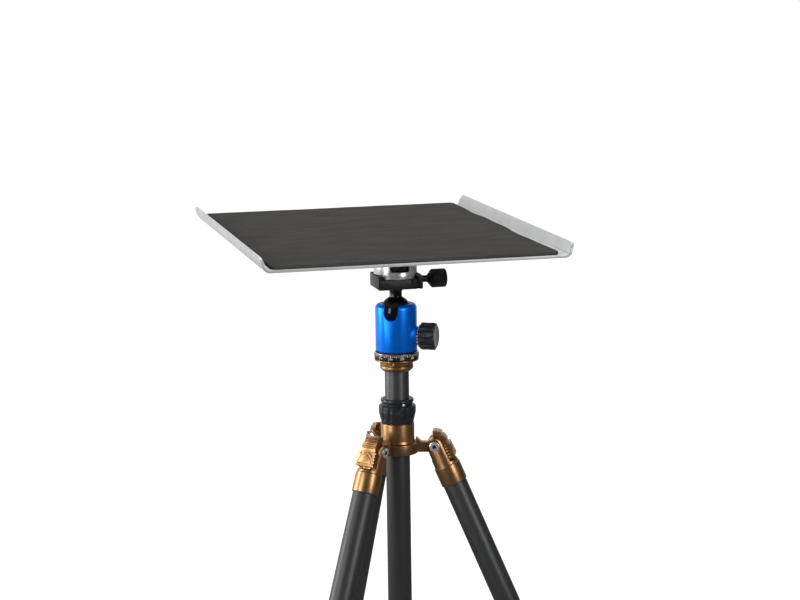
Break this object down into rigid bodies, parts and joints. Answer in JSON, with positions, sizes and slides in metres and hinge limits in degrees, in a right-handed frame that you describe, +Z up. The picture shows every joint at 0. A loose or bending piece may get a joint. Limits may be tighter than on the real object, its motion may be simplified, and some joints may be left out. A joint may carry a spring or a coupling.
{
  "type": "tethering table",
  "caption": "Lipped metal tray with a soft pad, held by a quick-release clamp on a ball head, over a centre column and folding, telescoping tripod legs.",
  "frame": {"origin": "on the floor, under the middle of the whole outline", "axes": "+Z up; X across the tray between its two lips; +Y along the tray towards its long overhang"},
  "size_m": [0.3548, 0.4418, 0.5903],
  "materials": {
    "satin_aluminium": "satin silver anodised sheet",
    "black_cloth": "knit-faced foam mat, matt warm black",
    "bright_steel": "bright plated steel",
    "black_anodised": "fine-blasted black anodised",
    "gloss_black": "gloss black",
    "blue_anodised": "satin blue anodised",
    "bronze_anodised": "satin bronze anodised",
    "carbon_tube": "satin carbon-fibre tube",
    "grey_aluminium": "spun grey",
    "black_nylon": "moulded nylon",
    "black_rubber": "moulded rubber"
  },
  "bodies": {
    "stand": {"spider": "bronze_anodised", "hub_sleeve": "bronze_anodised", "column_bush": "black_nylon"},
    "column_lock": {"column_collar": "black_rubber"},
    "column": {"column_tube": "carbon_tube", "column_top_plate": "bronze_anodised", "column_end_cap": "black_rubber", "head_stud": "bright_steel", "pan_base": "bronze_anodised", "pan_ring": "black_anodised"},
    "head": {"head_housing": "blue_anodised", "ball_seat": "black_nylon", "lock_wedge": "bright_steel"},
    "ball_lock": {"lock_knob": "black_anodised", "lock_grip": "black_rubber", "lock_cap": "grey_aluminium"},
    "pan_lock": {"pan_lock_knob": "black_anodised"},
    "ball": {"ball": "gloss_black"},
    "clamp": {"clamp_body": "black_anodised", "clamp_guide_front": "bright_steel", "clamp_guide_back": "bright_steel", "clamp_bolt": "bright_steel"},
    "clamp_jaw": {"clamp_jaw": "black_anodised"},
    "clamp_knob": {"clamp_knob": "black_anodised"},
    "tray": {"tray": "satin_aluminium", "pad": "black_cloth", "tray_thread_plate": "bright_steel", "mount_puck": "bright_steel"},
    "thumbwheel": {"puck_thumbwheel": "black_anodised"},
    "leg_1": {"leg_1_yoke": "bronze_anodised", "leg_1_hinge_pin": "bright_steel", "leg_1_lever_pin": "bright_steel", "leg_1_upper_tube": "carbon_tube"},
    "leg_1_lever": {"leg_1_angle_lever": "bronze_anodised"},
    "leg_1_upper_lock": {"leg_1_upper_lock": "black_rubber"},
    "leg_1_middle": {"leg_1_middle_tube": "carbon_tube"},
    "leg_1_lower_lock": {"leg_1_lower_lock": "black_rubber"},
    "leg_1_lower": {"leg_1_lower_tube": "carbon_tube", "leg_1_foot": "black_rubber"},
    "leg_2": {"leg_2_yoke": "bronze_anodised", "leg_2_hinge_pin": "bright_steel", "leg_2_lever_pin": "bright_steel", "leg_2_upper_tube": "carbon_tube"},
    "leg_2_lever": {"leg_2_angle_lever": "bronze_anodised"},
    "leg_2_upper_lock": {"leg_2_upper_lock": "black_rubber"},
    "leg_2_middle": {"leg_2_middle_tube": "carbon_tube"},
    "leg_2_lower_lock": {"leg_2_lower_lock": "black_rubber"},
    "leg_2_lower": {"leg_2_lower_tube": "carbon_tube", "leg_2_foot": "black_rubber"},
    "leg_3": {"leg_3_yoke": "bronze_anodised", "leg_3_hinge_pin": "bright_steel", "leg_3_lever_pin": "bright_steel", "leg_3_upper_tube": "carbon_tube"},
    "leg_3_lever": {"leg_3_angle_lever": "bronze_anodised"},
    "leg_3_upper_lock": {"leg_3_upper_lock": "black_rubber"},
    "leg_3_middle": {"leg_3_middle_tube": "carbon_tube"},
    "leg_3_lower_lock": {"leg_3_lower_lock": "black_rubber"},
    "leg_3_lower": {"leg_3_lower_tube": "carbon_tube", "leg_3_foot": "black_rubber"}
  },
  "joints": [
    {"name": "column_lock_turn", "type": "hinge", "parent": "stand", "child": "column_lock", "pos_m": [-0.01782, -0.08298, 0.3979], "axis": [0, 0, 1], "range_deg": [0, 60]},
    {"name": "column_slide", "type": "slide", "parent": "stand", "child": "column", "axis": [0, 0, 1], "range_m": [-0.028, 0.15]},
    {"name": "head_pan", "type": "hinge", "parent": "column", "child": "head", "pos_m": [-0.01782, -0.08298, 0.4726], "axis": [0, 0, 1], "continuous": true},
    {"name": "ball_lock_turn", "type": "hinge", "parent": "head", "child": "ball_lock", "pos_m": [-0.01782, -0.08298, 0.4884], "axis": [0.8746, -0.4848, 0], "range_deg": [0, 270]},
    {"name": "pan_lock_turn", "type": "hinge", "parent": "head", "child": "pan_lock", "pos_m": [-0.01782, -0.08298, 0.4826], "axis": [-0.0175, 0.9998, 0], "range_deg": [0, 180]},
    {"name": "ball_tilt", "type": "hinge", "parent": "head", "child": "ball", "pos_m": [-0.01782, -0.08298, 0.5134], "axis": [0.8746, -0.4848, 0], "range_deg": [-32, 80]},
    {"name": "ball_spin", "type": "hinge", "parent": "ball", "child": "clamp", "pos_m": [-0.01782, -0.08298, 0.5134], "axis": [0, 0, 1], "continuous": true},
    {"name": "clamp_jaw_slide", "type": "slide", "parent": "clamp", "child": "clamp_jaw", "axis": [1, 0, 0], "range_m": [0, 0.004]},
    {"name": "clamp_knob_turn", "type": "hinge", "parent": "clamp_jaw", "child": "clamp_knob", "pos_m": [-0.01782, -0.08298, 0.545], "axis": [1, 0, 0], "range_deg": [0, 1440]},
    {"name": "tray_slide", "type": "slide", "parent": "clamp", "child": "tray", "axis": [0, 1, 0], "range_m": [-0.008, 0.008]},
    {"name": "thumbwheel_turn", "type": "hinge", "parent": "tray", "child": "thumbwheel", "pos_m": [-0.01782, -0.08298, 0.5487], "axis": [0, 0, 1], "range_deg": [0, 270]},
    {"name": "leg_1_fold", "type": "hinge", "parent": "stand", "child": "leg_1", "pos_m": [0.01847, -0.09583, 0.3745], "axis": [-0.3338, -0.9426, 0], "range_deg": [-22, 57]},
    {"name": "leg_1_lever_pull", "type": "hinge", "parent": "leg_1", "child": "leg_1_lever", "pos_m": [0.02944, -0.09971, 0.36141], "axis": [0.3338, 0.9426, 0], "range_deg": [0, 10], "stiffness_Nm_per_rad": 0.03, "springref_deg": -28.65},
    {"name": "leg_1_upper_lock_turn", "type": "hinge", "parent": "leg_1", "child": "leg_1_upper_lock", "pos_m": [0.13711, -0.13784, 0.08464], "axis": [0.3683, -0.1304, -0.9205], "range_deg": [0, 60]},
    {"name": "leg_1_middle_slide", "type": "slide", "parent": "leg_1", "child": "leg_1_middle", "axis": [0.3683, -0.1304, -0.9205], "range_m": [0, 0.23]},
    {"name": "leg_1_lower_lock_turn", "type": "hinge", "parent": "leg_1_middle", "child": "leg_1_lower_lock", "pos_m": [0.14831, -0.14181, 0.05666], "axis": [0.3683, -0.1304, -0.9205], "range_deg": [0, 60]},
    {"name": "leg_1_lower_slide", "type": "slide", "parent": "leg_1_middle", "child": "leg_1_lower", "axis": [0.3683, -0.1304, -0.9205], "range_m": [0, 0.24]},
    {"name": "leg_2_fold", "type": "hinge", "parent": "stand", "child": "leg_2", "pos_m": [-0.02484, -0.04512, 0.3745], "axis": [0.9833, 0.1822, 0], "range_deg": [-22, 57]},
    {"name": "leg_2_lever_pull", "type": "hinge", "parent": "leg_2", "child": "leg_2_lever", "pos_m": [-0.02696, -0.03368, 0.36141], "axis": [-0.9833, -0.1822, 0], "range_deg": [0, 10], "stiffness_Nm_per_rad": 0.03, "springref_deg": -28.65},
    {"name": "leg_2_upper_lock_turn", "type": "hinge", "parent": "leg_2", "child": "leg_2_upper_lock", "pos_m": [-0.04778, 0.07864, 0.08464], "axis": [-0.0712, 0.3842, -0.9205], "range_deg": [0, 60]},
    {"name": "leg_2_middle_slide", "type": "slide", "parent": "leg_2", "child": "leg_2_middle", "axis": [-0.0712, 0.3842, -0.9205], "range_m": [0, 0.23]},
    {"name": "leg_2_lower_lock_turn", "type": "hinge", "parent": "leg_2_middle", "child": "leg_2_lower_lock", "pos_m": [-0.04994, 0.09031, 0.05666], "axis": [-0.0712, 0.3842, -0.9205], "range_deg": [0, 60]},
    {"name": "leg_2_lower_slide", "type": "slide", "parent": "leg_2_middle", "child": "leg_2_lower", "axis": [-0.0712, 0.3842, -0.9205], "range_m": [0, 0.24]},
    {"name": "leg_3_fold", "type": "hinge", "parent": "stand", "child": "leg_3", "pos_m": [-0.0471, -0.10798, 0.3745], "axis": [-0.6494, 0.7604, 0], "range_deg": [-22, 57]},
    {"name": "leg_3_lever_pull", "type": "hinge", "parent": "leg_3", "child": "leg_3_lever", "pos_m": [-0.05595, -0.11554, 0.36141], "axis": [0.6494, -0.7604, 0], "range_deg": [0, 10], "stiffness_Nm_per_rad": 0.03, "springref_deg": -28.65},
    {"name": "leg_3_upper_lock_turn", "type": "hinge", "parent": "leg_3", "child": "leg_3_upper_lock", "pos_m": [-0.14281, -0.18972, 0.08464], "axis": [-0.2971, -0.2538, -0.9205], "range_deg": [0, 60]},
    {"name": "leg_3_middle_slide", "type": "slide", "parent": "leg_3", "child": "leg_3_middle", "axis": [-0.2971, -0.2538, -0.9205], "range_m": [0, 0.23]},
    {"name": "leg_3_lower_lock_turn", "type": "hinge", "parent": "leg_3_middle", "child": "leg_3_lower_lock", "pos_m": [-0.15184, -0.19744, 0.05666], "axis": [-0.2971, -0.2538, -0.9205], "range_deg": [0, 60]},
    {"name": "leg_3_lower_slide", "type": "slide", "parent": "leg_3_middle", "child": "leg_3_lower", "axis": [-0.2971, -0.2538, -0.9205], "range_m": [0, 0.24]}
  ]
}
